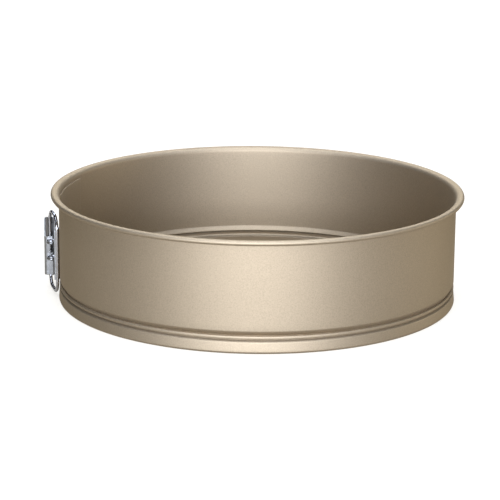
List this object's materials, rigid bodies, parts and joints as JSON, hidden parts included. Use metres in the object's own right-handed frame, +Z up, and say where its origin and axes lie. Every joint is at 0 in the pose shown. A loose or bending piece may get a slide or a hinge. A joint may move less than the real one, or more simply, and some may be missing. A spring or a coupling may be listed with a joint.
{
  "type": "springform pan",
  "caption": "Round springform cake pan: a coated sheet-steel band with a rolled rim and a groove that holds a loose base, drawn closed by an over-centre lever clasp with a wire bail.",
  "frame": {"origin": "on the pan's axis at table level", "axes": "+Z up along the pan's axis, -X through the seam and the clasp, +Y along the closed lever"},
  "size_m": [0.2566, 0.2506, 0.0667],
  "materials": {
    "band_coat": "champagne metallic satin coat with a fine speckle, on sheet steel",
    "base_coat": "the same champagne metallic satin coat, on thicker sheet steel",
    "plated_sheet": "bright plated sheet steel",
    "plated_wire": "bright plated steel wire",
    "rivet_steel": "plated steel, formed domed heads"
  },
  "bodies": {
    "band": {"band": "band_coat", "catch_plate": "plated_sheet", "hinge_plate": "plated_sheet", "upper_pivot_rivet": "rivet_steel", "lower_pivot_rivet": "rivet_steel"},
    "base": {"base_plate": "base_coat"},
    "lever": {"lever": "plated_sheet"},
    "bail": {"bail": "plated_wire"}
  },
  "joints": [
    {"name": "lever_swing", "type": "hinge", "parent": "band", "child": "lever", "pos_m": [-0.12598, 0.00209, 0.0267], "axis": [0, 0, 1], "range_deg": [0, 150]},
    {"name": "bail_turn", "type": "hinge", "parent": "lever", "child": "bail", "pos_m": [-0.12766, 0.01062, 0.0267], "axis": [0, 0, 1], "range_deg": [-150, 0]},
    {"name": "base_lift", "type": "slide", "parent": "band", "child": "base", "axis": [0, 0, 1], "range_m": [0, 0.075]}
  ],
  "couplings": [
    {"joint": "bail_turn", "follows": "lever_swing", "ratio": -1}
  ]
}
